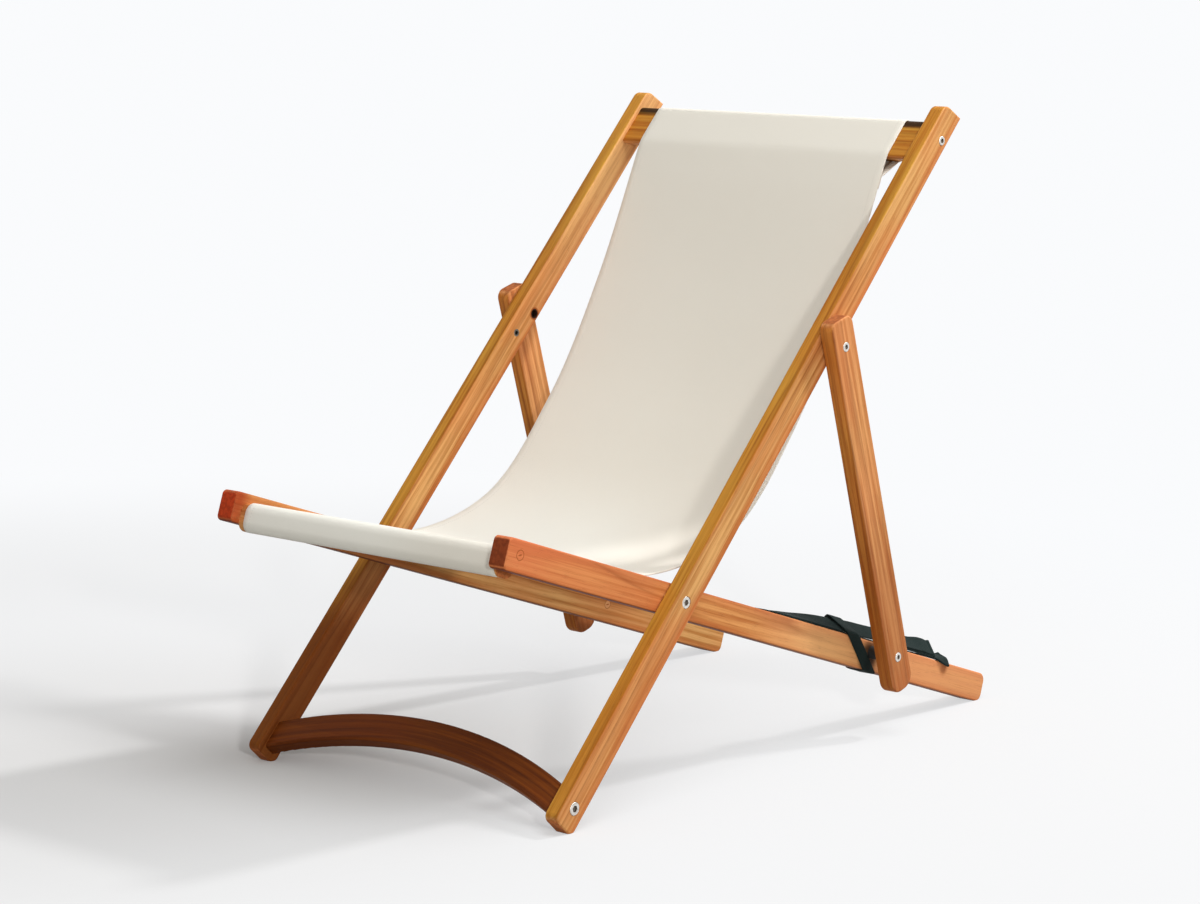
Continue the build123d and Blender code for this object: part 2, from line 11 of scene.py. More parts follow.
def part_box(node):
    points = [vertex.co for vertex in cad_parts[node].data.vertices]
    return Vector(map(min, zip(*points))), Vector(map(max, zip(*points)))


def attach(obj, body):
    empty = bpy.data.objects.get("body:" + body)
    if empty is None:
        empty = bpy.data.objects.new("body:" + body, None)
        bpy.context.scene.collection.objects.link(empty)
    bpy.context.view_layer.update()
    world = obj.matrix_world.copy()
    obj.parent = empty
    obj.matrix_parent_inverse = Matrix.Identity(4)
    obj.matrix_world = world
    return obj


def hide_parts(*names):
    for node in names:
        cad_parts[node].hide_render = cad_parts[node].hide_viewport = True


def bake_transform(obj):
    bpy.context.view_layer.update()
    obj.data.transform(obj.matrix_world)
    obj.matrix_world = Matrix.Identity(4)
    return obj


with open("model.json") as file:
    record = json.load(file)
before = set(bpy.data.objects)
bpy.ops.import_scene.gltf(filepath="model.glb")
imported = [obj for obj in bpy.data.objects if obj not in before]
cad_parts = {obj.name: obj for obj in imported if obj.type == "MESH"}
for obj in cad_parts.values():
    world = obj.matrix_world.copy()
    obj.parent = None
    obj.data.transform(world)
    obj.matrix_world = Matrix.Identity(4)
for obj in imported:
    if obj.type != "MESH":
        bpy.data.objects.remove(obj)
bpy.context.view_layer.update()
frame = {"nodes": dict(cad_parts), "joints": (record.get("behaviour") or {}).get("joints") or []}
print("frame loaded with", len(frame["nodes"]), "nodes")

# Folding sling deck chair. Metres, +Z up, -Y is the front.
# The side view of each frame is measured from the pivot, along a rail and across it.
chair = {
    "backSlope": 46.4,      # degrees the back rails rise towards the rear
    "seatSlope": -19.011,   # the seat rails fall towards the rear
    "faceSlack": 0.00005,   # a corner this near to a face lies on it
}
joints = {joint["name"]: joint for joint in frame["joints"]}
pivot = Vector(joints["frame_fold"]["pos_m"])
propFoot = Vector(joints["prop_right_swing"]["pos_m"])


def middleOf(node):
    low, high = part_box(node)
    return (Vector(low) + Vector(high)) / 2


class SideView:
    # a rail's own directions in the side view of the chair
    def __init__(self, slope, origin):
        self.slope = radians(slope)
        self.origin = Vector((0, origin.y, origin.z))
        self.along = Vector((0, cos(self.slope), sin(self.slope)))
        self.across = Vector((0, -sin(self.slope), cos(self.slope)))

    def spot(self, along, across, x=0.0):
        return self.origin + self.along * along + self.across * across + Vector((x, 0, 0))

    def turned(self, angle):
        # the direction that stands this many degrees off the rail
        return self.along * cos(radians(angle)) + self.across * sin(radians(angle))

    def reach(self, node, axis):
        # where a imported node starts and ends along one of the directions
        ends = [(v.co - self.origin).dot(axis) for v in frame["nodes"][node].data.vertices]
        return min(ends), max(ends)


backView = SideView(chair["backSlope"], pivot)
seatView = SideView(chair["seatSlope"], pivot)
propTop = middleOf("prop_top_washer_right")
propView = SideView(degrees(atan2(propTop.z - propFoot.z, propTop.y - propFoot.y)), propFoot)


# shader graphs
class Wire:
    # a shader socket that can stand in a sum
    def __init__(self, graph, socket):
        self.graph = graph
        self.socket = socket

    def __add__(self, other):
        return self.graph.maths("ADD", self, other)

    def __radd__(self, other):
        return self.graph.maths("ADD", other, self)

    def __sub__(self, other):
        return self.graph.maths("SUBTRACT", self, other)

    def __rsub__(self, other):
        return self.graph.maths("SUBTRACT", other, self)

    def __mul__(self, other):
        return self.graph.maths("MULTIPLY", self, other)

    def __rmul__(self, other):
        return self.graph.maths("MULTIPLY", other, self)

    def __truediv__(self, other):
        return self.graph.maths("DIVIDE", self, other)


class Graph:
    # the nodes of one material or world
    def __init__(self, owner):
        self.owner = owner
        owner.use_nodes = True
        self.nodes = owner.node_tree.nodes
        self.links = owner.node_tree.links
        self.nodes.clear()

    def add(self, kind, settings=None, inputs=None, output=0):
        node = self.nodes.new(kind)
        for name, value in (settings or {}).items():
            if name == "stops":
                self.setStops(node.color_ramp, value)
            else:
                setattr(node, name, value)
        for name, value in (inputs or {}).items():
            if isinstance(value, Wire):
                self.links.new(value.socket, node.inputs[name])
            else:
                node.inputs[name].default_value = value
        return Wire(self, node.outputs[output]) if node.outputs else None

    def setStops(self, ramp, stops):
        while len(ramp.elements) < len(stops):
            ramp.elements.new(0.5)
        for element, (place, shade) in zip(ramp.elements, stops):
            element.position = place
            element.color = (shade, shade, shade, 1)

    def maths(self, operation, *values):
        return self.add("ShaderNodeMath", {"operation": operation}, dict(enumerate(values)))

    def vector(self, operation, *values, output="Vector"):
        return self.add(
            "ShaderNodeVectorMath", {"operation": operation}, dict(enumerate(values)), output
        )

    def measure(self, operation, *values):
        # a vector operation whose result is a number
        return self.vector(operation, *values, output="Value")

    def stretched(self, place, factors):
        return self.vector("MULTIPLY", place, factors)

    def parts(self, place):
        # the three numbers of a place
        split = self.add("ShaderNodeSeparateXYZ", {}, {0: place})
        return [Wire(self, output) for output in split.socket.node.outputs]

    def blend(self, amount, first, second, mode="MIX"):
        paint = [c if isinstance(c, Wire) else (*c, 1) for c in (first, second)]
        return self.add(
            "ShaderNodeMix",
            {"data_type": "RGBA", "blend_type": mode},
            {0: amount, 6: paint[0], 7: paint[1]},
            output=2,
        )

    def band(self, value, low, high):
        # 0 on low's side and 1 on high's, eased between; low may be the larger
        return self.add(
            "ShaderNodeMapRange",
            {"interpolation_type": "SMOOTHSTEP"},
            {"Value": value, "From Min": low, "From Max": high},
        )

    def grainNoise(self, place, scale, detail, roughness=0.55):
        return self.add(
            "ShaderNodeTexNoise",
            {},
            {"Vector": place, "Scale": scale, "Detail": detail, "Roughness": roughness},
        )

    def bump(self, height, strength, distance):
        return self.add(
            "ShaderNodeBump", {}, {"Height": height, "Strength": strength, "Distance": distance}
        )

    def finish(self, sockets):
        skin = self.add("ShaderNodeBsdfPrincipled", {}, sockets)
        self.add("ShaderNodeOutputMaterial", {}, {"Surface": skin})
        return self.owner


# Oiled hardwood. Each piece is cut from its own log: the rings go round a heart that
# lies beside the piece and leans a little, so that they run out along it in long points.
woodLook = {
    # each figure's scale, its share along the grain, detail and roughness
    "wander": (14.0, 0.14, 2.0, 0.55),
    "ringFade": (30.0, 0.10, 1.0, 0.55),
    "fibre": (900.0, 0.014, 3.0, 0.60),
    "streak": (165.0, 0.022, 4.0, 0.62),
    "pore": (1500.0, 0.035, 1.0, 0.55),
    "patch": (7.0, 0.45, 2.0, 0.55),
    # where each figure begins to show, and where it shows in full
    "ringFadeBand": (0.34, 0.66),
    "fibreBand": (0.50, 0.76),
    "streakBand": (0.35, 0.63),
    "endStreakBand": (0.40, 0.62),
    "poreBand": (0.66, 0.72),
    "patchBand": (0.42, 0.64),
    # growth rings; the stops say how dark the wood is from a ring's start to its end
    "ringWidth": 0.0125,
    "ringWander": 0.0240,
    "lean": 0.030,          # how much of the length counts in a ring's distance
    "ringStops": ((0.0, 0.30), (0.12, 0.0), (0.55, 0.18), (0.88, 0.62), (0.95, 1.0), (1.0, 0.40)),
    "ringDepth": 0.70,
    "veinDepth": 0.75,      # how near a ring comes to the vein's paint
    # how far the figures change the main colour
    "streakDepth": 0.72,
    "patchDepth": 0.45,
    "stainAndShadeRagged": 0.5,     # how far the streaks fray the edges of stains and painted shade
    "fibreDepth": 0.45,
    "fibrePaint": (0.62, 0.48, 0.38),
    "poreDepth": 0.40,
    "porePaint": (0.42, 0.30, 0.22),
    # painted face shade, sawn ends, and arrises darkened by wear and painted shade
    "faceBand": (0.55, 0.92),
    "endBand": (0.80, 0.97),    # how squarely a face must cut the grain to look like an end
    "endDepth": 0.92,
    "endSpread": 1.45,      # how much paler an end's pale spots are
    "edgeBand": (0.88, 1.0),
    "edgeDepth": 0.45,
    "edgePaint": (0.72, 0.60, 0.50),
    # the oil's gloss, and the relief of the figures
    "roughness": 0.46,
    "streakRoughness": 0.20,
    "endRoughness": 0.15,
    "specular": 0.11,
    "fibreHeight": 0.5,
    "poreHeight": 0.9,
    "ringHeight": 0.30,
    "bump": (0.55, 0.00022),    # strength and depth
}
woodPaints = {
    "honey": {
        "pale": (0.800, 0.455, 0.172), "main": (0.660, 0.315, 0.098),
        "deep": (0.440, 0.160, 0.032), "vein": (0.240, 0.066, 0.013),
        "blush": (0.690, 0.220, 0.068), "end": (0.420, 0.130, 0.040),
    },
    "salmon": {
        "pale": (0.800, 0.385, 0.130), "main": (0.680, 0.265, 0.076),
        "deep": (0.470, 0.145, 0.034), "vein": (0.270, 0.066, 0.016),
        "blush": (0.720, 0.205, 0.075), "end": (0.170, 0.028, 0.007),
    },
    "chestnut": {
        "pale": (0.870, 0.450, 0.180), "main": (0.740, 0.345, 0.120),
        "deep": (0.460, 0.155, 0.040), "vein": (0.220, 0.058, 0.015),
        "blush": (0.700, 0.225, 0.080), "end": (0.300, 0.085, 0.025),
    },
    "walnut": {
        "pale": (0.250, 0.066, 0.0080), "main": (0.185, 0.044, 0.0050),
        "deep": (0.110, 0.024, 0.0030), "vein": (0.050, 0.011, 0.0020),
        "blush": (0.210, 0.042, 0.0050), "end": (0.080, 0.018, 0.0030),
    },
}
stainAndShadePaints = {
    "shadowUmber": (0.250, 0.062, 0.008),
    "rose": (0.700, 0.165, 0.068),
    "brick": (0.600, 0.140, 0.036),
    "straw": (0.860, 0.480, 0.205),
    "rust": (0.330, 0.070, 0.014),
    "nearBlack": (0.020, 0.008, 0.005),
    "redEnd": (0.400, 0.038, 0.008),
}


def figure(graph, name, place):
    # one of the wood's noises, drawn out along the grain
    scale, share, detail, roughness = woodLook[name]
    return graph.grainNoise(graph.stretched(place, (1, share, 1)), scale, detail, roughness)


def growthRings(graph, place, heart):
    # the dark late wood round the log's heart, strong in places and faint in others
    look = woodLook
    offsets = [side - middle for side, middle in zip(graph.parts(place), heart)]
    offsets[1] = offsets[1] * look["lean"]
    fromHeart = graph.add("ShaderNodeCombineXYZ", {}, dict(enumerate(offsets)))
    distance = graph.measure("LENGTH", fromHeart)
    turns = (distance + figure(graph, "wander", place) * look["ringWander"]) / look["ringWidth"]
    late = graph.add(
        "ShaderNodeValToRGB", {"stops": look["ringStops"]}, {"Fac": graph.maths("FRACT", turns)}
    )
    return late * graph.band(figure(graph, "ringFade", place), *look["ringFadeBand"])


def woodMaterial(node, wood, middle, bow=None):
    # wood has the piece's paint, half section, its log's heart beside the piece, and turn,
    # which brings its grain to Y. A stain or a painted shade lies between two places on one of
    # the piece's own axes, painted shade on the faces that look one way, and a mark between two
    # distances from a place, in stretched space; some marks are painted shade.
    look, tones = woodLook, woodPaints[wood["paint"]]
    graph = Graph(bpy.data.materials.new("oiled " + node.replace("_", " ")))
    turn = Euler(wood["turn"], "XYZ").to_matrix()
    where = graph.add("ShaderNodeTexCoord", output="Object")
    place = graph.add(
        "ShaderNodeMapping",
        {"vector_type": "POINT"},
        {"Vector": where, "Location": -(turn @ middle), "Rotation": wood["turn"]},
    )
    sides = graph.parts(place)
    if bow:  # the grain of the arched rail follows its curve
        thick, grain, wide = sides
        share = grain / bow["half"]
        thick = thick + bow["rise"] * (1 - share * share)
        place = graph.add("ShaderNodeCombineXYZ", {}, {0: thick, 1: grain, 2: wide})
    late = growthRings(graph, place, wood["heart"])
    fibre = figure(graph, "fibre", place)
    streak = figure(graph, "streak", place)
    pore = graph.band(figure(graph, "pore", place), *look["poreBand"])
    patch = graph.band(figure(graph, "patch", place), *look["patchBand"])

    tone = graph.blend(graph.band(streak, *look["streakBand"]), tones["deep"], tones["pale"])
    tone = graph.blend(look["streakDepth"], tones["main"], tone)
    tone = graph.blend(patch * look["patchDepth"], tone, tones["blush"])
    for axis, low, high, markPaint, amount in wood.get("stainsAndShade", ()):
        frayed = sides[axis] + (streak - 0.5) * abs(high - low) * look["stainAndShadeRagged"]
        tone = graph.blend(graph.band(frayed, low, high) * amount, tone, stainAndShadePaints[markPaint])
    vein = tuple(1 - look["veinDepth"] * (1 - v / m) for v, m in zip(tones["vein"], tones["main"]))
    tone = graph.blend(late * look["ringDepth"], tone, vein, "MULTIPLY")
    for amount, kind in ((graph.band(fibre, *look["fibreBand"]), "fibre"), (pore, "pore")):
        tone = graph.blend(amount * look[kind + "Depth"], tone, look[kind + "Paint"], "MULTIPLY")

    # painted shade on the faces that look to the front or underneath, and the sawn ends take up
    # more oil
    outward = graph.add("ShaderNodeTexCoord", output="Normal")
    for way, faceShade in wood.get("shadedFaces", ()):
        facing = graph.band(graph.measure("DOT_PRODUCT", outward, way), *look["faceBand"])
        tone = graph.blend(facing, tone, faceShade, "MULTIPLY")
    grainWay = turn.inverted() @ Vector((0, 1, 0))
    facing = graph.maths("ABSOLUTE", graph.measure("DOT_PRODUCT", outward, grainWay))
    cutEnd = graph.band(facing, *look["endBand"])
    endPaint = stainAndShadePaints[wood["end"]] if "end" in wood else tones["end"]
    endPale = tuple(c * look["endSpread"] for c in endPaint)
    endTone = graph.blend(graph.band(streak, *look["endStreakBand"]), endPaint, endPale)
    tone = graph.blend(cutEnd * look["endDepth"], tone, endTone)

    # arrises, where two faces meet, darkened partly as rubbed wear and partly as painted shade
    nearSide = graph.maths("ABSOLUTE", sides[0] / wood["half"][0])
    nearTop = graph.maths("ABSOLUTE", sides[2] / wood["half"][1])
    arrisWearAndShade = graph.band(graph.maths("MINIMUM", nearSide, nearTop), *look["edgeBand"])
    tone = graph.blend(arrisWearAndShade * look["edgeDepth"], tone, look["edgePaint"], "MULTIPLY")
    for spot, factors, low, high, markPaint, amount in wood.get("marks", ()):
        away = graph.stretched(graph.vector("SUBTRACT", where, spot), factors)
        reach = graph.band(graph.measure("LENGTH", away), low, high)
        tone = graph.blend(reach * amount, tone, stainAndShadePaints[markPaint])

    height = fibre * look["fibreHeight"] - pore * look["poreHeight"] - late * look["ringHeight"]
    roughness = look["roughness"] + streak * look["streakRoughness"]
    return graph.finish(
        {
            "Base Color": tone,
            "Roughness": roughness + cutEnd * look["endRoughness"],
            "Specular IOR Level": look["specular"],
            "Normal": graph.bump(height, *look["bump"]),
        }
    )


def dress(node, material):
    for slot in frame["nodes"][node].material_slots:
        slot.material = material


def railMiddle(node, view):
    # the rail's line through the pivot, in the middle of its thickness
    return Vector((middleOf(node).x, view.origin.y, view.origin.z))


# The rails' side views, turns and half sections, and the painted shade on their front and under
# faces.
# painted shade: faces that look to the front or downwards are darkened as if out of the light
frontFaceShade = (0.80, 0.72, 0.27)
propFaceShade = (0.86, 0.72, 0.36)
underFaceShade = (0.30, 0.21, 0.15)
railCuts = {
    "back": {
        "view": backView, "turn": (-backView.slope, 0, 0), "half": (0.011, 0.021),
        "shadedFaces": ((backView.across, frontFaceShade),),
    },
    "seat": {
        "view": seatView, "turn": (-seatView.slope, 0, 0), "half": (0.014, 0.021),
        "shadedFaces": ((-seatView.across, underFaceShade),),
    },
    "prop": {
        "view": propView, "turn": (-propView.slope, 0, 0), "half": (0.011, 0.0235),
        "shadedFaces": ((propView.across, propFaceShade),),
    },
}
rearEdge = (2, -0.004, -0.020, "brick", 0.55)
propStains = ((1, 0.30, 0.08, "rust", 0.52),)
boltHole = middleOf("prop_top_bolt_left")
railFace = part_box("seat_rail_right")[1][0]
railWoods = {
    "back_rail_right": {
        **railCuts["back"], "paint": "honey", "heart": (0.050, 0.22, -0.034),
        "stainsAndShade": (rearEdge,),
    },
    "back_rail_left": {
        **railCuts["back"], "paint": "honey", "heart": (-0.030, 0.46, 0.047),
        "stainsAndShade": (
            rearEdge,
            # painted shadow of the seat and sling on the rail's lower leg
            (1, -0.03, -0.15, "shadowUmber", 0.88),
            (1, 0.30, 0.70, "straw", 0.40),
        ),
        "marks": (          # a rust ring round the prop's bolt hole, and painted shade inside it
            (boltHole, (0, 1, 1), 0.0105, 0.0080, "rust", 0.85),
            (boltHole, (0, 1, 1), 0.0078, 0.0064, "nearBlack", 0.97),
        ),
    },
    "seat_rail_right": {
        **railCuts["seat"], "paint": "salmon", "heart": (0.061, -0.02, 0.016),
        "stainsAndShade": (
            (1, 0.14, 0.34, "straw", 0.72),
            (1, 0.42, 0.56, "rose", 0.32),
            (1, -0.14, -0.32, "rose", 0.50),
            (2, 0.006, 0.021, "rose", 0.30),
            (2, -0.012, -0.020, "brick", 0.40),
        ),
        "marks": (          # painted shade beside the strap's loop, and a painted shadow under the strap's end
            (seatView.spot(0.451, -0.002, railFace), (1, 1, 1), 0.028, 0.013, "nearBlack", 0.90),
            (seatView.spot(0.640, 0.0115, railFace), (1, 1, 1), 0.013, 0.003, "rust", 0.55),
        ),
    },
    "seat_rail_left": {
        **railCuts["seat"], "paint": "honey", "heart": (-0.052, 0.30, -0.044),
        "stainsAndShade": ((1, -0.300, -0.326, "redEnd", 0.80), (2, -0.010, -0.020, "brick", 0.35)),
        "end": "redEnd",
    },
    "prop_right": {
        **railCuts["prop"], "paint": "chestnut", "heart": (0.046, 0.12, 0.052),
        "stainsAndShade": propStains,
    },
    "prop_left": {
        **railCuts["prop"], "paint": "chestnut", "heart": (-0.058, 0.25, -0.037),
        "stainsAndShade": propStains,
    },
}
# pieces whose grain runs across the chair
crossBackTurn = (-backView.slope, 0, pi / 2)
crossSeatTurn = (-seatView.slope, 0, pi / 2)
dowelWood = {
    "paint": "chestnut", "turn": crossBackTurn, "half": (0.005, 0.005),
    "heart": (0.012, 0.0, 0.006),
}
crossWoods = {
    "top_rail": {
        "paint": "honey", "turn": crossBackTurn, "half": (0.036, 0.015),
        "heart": (0.040, 0.10, 0.030),
        # a near-black band along the board's top
        "stainsAndShade": ((0, -0.011, -0.021, "nearBlack", 0.95),),
        "shadedFaces": ((backView.across, frontFaceShade),),
    },
    "front_rail": {
        "paint": "honey", "turn": crossSeatTurn, "half": (0.017, 0.019),
        "heart": (0.045, 0.05, 0.020),
    },
    "top_rail_dowels": dowelWood,
    "foot_rail_dowels": dowelWood,
}
archWood = {
    "paint": "walnut", "turn": crossBackTurn, "half": (0.021, 0.011),
    "heart": (0.075, -0.05, 0.022),
}
plugMark = {
    "rim": (0.0016, 0.0004),        # from and to, in from the plug's edge
    "middle": (0.0042, 0.0026),     # from and to, off the plug's middle
    "middleStretch": (0, 1.0, 3.4),
    "depth": 0.85,
}


def dressArch():
    # the arched rail's ends lie lower along the back rails than its middle
    node = "arched_foot_rail"
    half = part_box(node)[1][0]
    ends = [
        (v.co - backView.origin).dot(backView.along)
        for v in frame["nodes"][node].data.vertices
        if abs(v.co.x) > half - chair["faceSlack"]
    ]
    rise = backView.reach(node, backView.along)[1] - max(ends)
    middle = backView.spot((min(ends) + max(ends)) / 2, 0)
    dress(node, woodMaterial(node, archWood, middle, bow={"rise": rise, "half": half}))
    print("arch dressed, its rise", round(rise, 4))


def dressPlugs():
    # the plugs are cut from the wood that they lie in
    railWood = railWoods["seat_rail_right"]
    middle = railMiddle("seat_rail_right", seatView)
    for node in ("front_rail_plugs", "pivot_plugs", "prop_foot_plugs"):
        low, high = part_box(node)
        spot, radius = middleOf(node), (high[2] - low[2]) / 2
        rim = [radius - inset for inset in plugMark["rim"]]
        marks = (
            (spot, (0, 1, 1), *rim, "rust", plugMark["depth"]),
            (spot, plugMark["middleStretch"], *plugMark["middle"], "rust", plugMark["depth"]),
        )
        dress(node, woodMaterial(node, {**railWood, "shadedFaces": (), "marks": marks}, middle))


def dressWood():
    for node, wood in railWoods.items():
        dress(node, woodMaterial(node, wood, railMiddle(node, wood["view"])))
    for node, wood in crossWoods.items():
        dress(node, woodMaterial(node, wood, middleOf(node)))
    dressArch()
    dressPlugs()
    print("wood dressed")


steelLook = {
    "bright": (0.82, 0.80, 0.755),
    "dull": (0.62, 0.59, 0.53),
    "socketShade": (0.085, 0.055, 0.035),
    "insertShade": 0.30,
    "socketBand": (0.0010, 0.0016),     # depth below a bolt's face over which the painted socket shade comes in
    "socketDepth": 0.9,
    "speck": (700.0, 4.0),      # scale and detail
    "speckBand": (0.35, 0.70),
    "cloud": (260.0, 2.0),
    "cloudBand": (0.40, 0.66),
    "roughness": 0.22,
    "speckRoughness": 0.22,
    "bump": (0.25, 0.00008),
}
spacerLook = {
    "dark": (0.018, 0.017, 0.016),
    "light": (0.040, 0.038, 0.036),
    "grit": (900.0, 3.0),
    "roughness": 0.42,
    "gritRoughness": 0.2,
    "bump": (0.3, 0.0001),
}


def steelMaterial(name, shade=1.0, face=None):
    # face is how far out along X a bolt's head reaches
    look = steelLook
    graph = Graph(bpy.data.materials.new(name))
    place = graph.add("ShaderNodeTexCoord", output="Object")
    speck = graph.grainNoise(place, *look["speck"])
    cloud = graph.grainNoise(place, *look["cloud"])
    bright, dull = (tuple(c * shade for c in look[paint]) for paint in ("bright", "dull"))
    tone = graph.blend(graph.band(cloud, *look["cloudBand"]), bright, dull)
    # painted shade in the hex socket, below the bolt's face
    if face:
        out = graph.maths("ABSOLUTE", graph.parts(place)[0])
        inSocket = graph.band(face - out, *look["socketBand"])
        tone = graph.blend(inSocket * look["socketDepth"], tone, look["socketShade"])
    dullness = graph.band(speck, *look["speckBand"]) * look["speckRoughness"]
    return graph.finish(
        {
            "Base Color": tone,
            "Metallic": 1.0,
            "Roughness": look["roughness"] + dullness,
            "Normal": graph.bump(speck, *look["bump"]),
        }
    )


def spacerMaterial():
    look = spacerLook
    graph = Graph(bpy.data.materials.new("black nylon spacer"))
    grit = graph.grainNoise(graph.add("ShaderNodeTexCoord", output="Object"), *look["grit"])
    return graph.finish(
        {
            "Base Color": graph.blend(grit, look["dark"], look["light"]),
            "Roughness": look["roughness"] + grit * look["gritRoughness"],
            "Normal": graph.bump(grit, *look["bump"]),
        }
    )


def dressFasteners():
    bright = steelMaterial("zinc plated steel")
    for node in (
        "pivot_washers", "pivot_end_washers", "pivot_nuts", "prop_foot_washers",
        "prop_foot_nuts", "prop_top_washer_left", "prop_top_washer_right", "front_rail_screws",
    ):
        dress(node, bright)
    for node in (
        "top_rail_bolts", "foot_rail_bolts", "pivot_bolts", "prop_foot_bolts",
        "prop_top_bolt_left", "prop_top_bolt_right",
    ):
        low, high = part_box(node)
        face = max(abs(low[0]), abs(high[0]))
        dress(node, steelMaterial("zinc plated " + node.replace("_", " "), face=face))
    # the inserts' steel is darkened as painted shade deep in the bolt holes
    dress("prop_inserts", steelMaterial("insert steel darkened as hole shade", steelLook["insertShade"]))
    dress("prop_foot_spacers", spacerMaterial())
    print("fasteners dressed")


dressWood()
dressFasteners()

# cloth
canvasLook = {
    "warp": (0.845, 0.812, 0.735),
    "weft": (0.815, 0.780, 0.698),
    "valley": (0.670, 0.628, 0.540),
    # painted light: the seat towards the far side is painted paler
    "paintedLightPale": (0.925, 0.915, 0.850),
    "paintedLightLength": (0.70, 0.50),         # between these distances along the cloth
    "paintedLightWidth": (0.40, 0.22),          # and these across it
    "paintedLightDepth": 0.8,
    "threadPitch": 0.0011,
    "slub": (150.0, 2.0),
    "cloud": (9.0, 3.0),
    "bump": (0.45, 0.00022),
    "roughness": 0.82,
    "specular": 0.18,
    "sheen": 0.12,
}
strapLook = {
    "warp": (0.0075, 0.0190, 0.0175),
    "weft": (0.0050, 0.0135, 0.0125),
    "valley": (0.0020, 0.0055, 0.0055),
    "threadPitch": 0.0016,
    "slub": (260.0, 2.0),
    "cloud": (40.0, 3.0),
    "bump": (0.45, 0.00035),
    "roughness": 0.70,
    "specular": 0.10,
    "sheen": 0.03,
}
# what both cloths share
weave = {
    "slubShare": 0.18,      # along the cloth, beside 1 across it
    "acrossWander": 2.2,    # how far the slubs push the threads aside
    "lengthWander": 1.6,
    "overBand": (-0.35, 0.35),
    "valleyBand": (0.20, 0.75),
    "valleyDepth": 0.5,
    "slubBand": (0.50, 0.75),
    "slubDepth": 0.30,
    "cloudBand": (0.45, 0.75),
    "cloudDepth": 0.25,
    "slubRoughness": 0.08,
    "sheenRoughness": 0.5,
    "crownHeight": 0.8,
    "slubHeight": 0.5,
}


def wovenMaterial(name, look):
    # a plain weave that follows the cloth's own flat measure, kept in its UV map
    graph = Graph(bpy.data.materials.new(name))
    cloth = graph.add("ShaderNodeUVMap", {"uv_map": "flat"})
    across, length = graph.parts(cloth)[:2]
    rate = 2 * pi / look["threadPitch"]
    slub = graph.grainNoise(graph.stretched(cloth, (1, weave["slubShare"], 1)), *look["slub"])
    acrossWave = graph.maths("SINE", across * rate + slub * weave["acrossWander"])
    lengthWave = graph.maths("SINE", length * rate + slub * weave["lengthWander"])
    over = graph.band(acrossWave * lengthWave, *weave["overBand"])
    crown = graph.maths(
        "MAXIMUM", graph.maths("ABSOLUTE", acrossWave), graph.maths("ABSOLUTE", lengthWave)
    )
    cloud = graph.grainNoise(graph.add("ShaderNodeTexCoord", output="Object"), *look["cloud"])
    # painted shade in the hollows between the threads
    valley = (1 - graph.band(crown, *weave["valleyBand"])) * weave["valleyDepth"]
    tone = graph.blend(over, look["warp"], look["weft"])
    tone = graph.blend(valley, tone, look["valley"])
    for uneven, kind in ((slub, "slub"), (cloud, "cloud")):
        amount = graph.band(uneven, *weave[kind + "Band"]) * weave[kind + "Depth"]
        tone = graph.blend(amount, tone, look["weft"])
    # painted light on the seat part of the cloth, towards its far side
    if "paintedLightPale" in look:
        paintedLit = graph.band(length, *look["paintedLightLength"])
        paintedLit = paintedLit * graph.band(across, *look["paintedLightWidth"])
        tone = graph.blend(paintedLit * look["paintedLightDepth"], tone, look["paintedLightPale"])
    height = crown * weave["crownHeight"] + slub * weave["slubHeight"]
    return graph.finish(
        {
            "Base Color": tone,
            "Roughness": look["roughness"] + slub * weave["slubRoughness"],
            "Specular IOR Level": look["specular"],
            "Sheen Weight": look["sheen"],
            "Sheen Roughness": weave["sheenRoughness"],
            "Normal": graph.bump(height, *look["bump"]),
        }
    )


canvas = wovenMaterial("cream canvas", canvasLook)
strapCloth = wovenMaterial("dark green webbing", strapLook)


def shown(name, data):
    thing = bpy.data.objects.new(name, data)
    bpy.context.scene.collection.objects.link(thing)
    return thing


def pieceFrom(mesh, name, material, body=None):
    bmesh.ops.recalc_face_normals(mesh, faces=mesh.faces)
    data = bpy.data.meshes.new(name)
    mesh.to_mesh(data)
    mesh.free()
    data.materials.append(material)
    for face in data.polygons:
        face.use_smooth = True
    piece = shown(name, data)
    if body:
        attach(piece, body)
    return piece


def thicken(piece, thickness, smoothing=0):
    wall = piece.modifiers.new("cloth thickness", "SOLIDIFY")
    wall.thickness = thickness
    wall.offset = 0
    wall.use_even_offset = not smoothing  # an even wall would spike in a tight fold
    if smoothing:
        soft = piece.modifiers.new("soft surface", "SUBSURF")
        soft.levels = smoothing
        soft.render_levels = smoothing


def arc(view, centre, radius, start, end, steps):
    # points of an arc in a rail's side view, degrees counted from along towards across
    points = []
    for step in range(steps + 1):
        turn = radians(start + (end - start) * step / steps)
        points.append(view.spot(centre[0] + radius * cos(turn), centre[1] + radius * sin(turn)))
    return points


def spread(points, pitch):
    # the same line with a point about every pitch
    line = [points[0]]
    for point in points[1:]:
        gap = (point - line[-1]).length
        steps = max(1, round(gap / pitch))
        start = line[-1].copy()
        for step in range(steps):
            line.append(start.lerp(point, (step + 1) / steps))
    return line


def curveThrough(points, firstWay, lastWay, steps):
    # a smooth line through the points, as Bezier spans
    ways = [firstWay.normalized()]
    for before, after in zip(points[:-2], points[2:]):
        ways.append((after - before).normalized())
    ways.append(lastWay.normalized())
    line = []
    for i in range(len(points) - 1):
        pull = (points[i + 1] - points[i]).length / 3
        span = interpolate_bezier(
            points[i],
            points[i] + ways[i] * pull,
            points[i + 1] - ways[i + 1] * pull,
            points[i + 1],
            steps,
        )
        line.extend(span if i == 0 else span[1:])
    return line


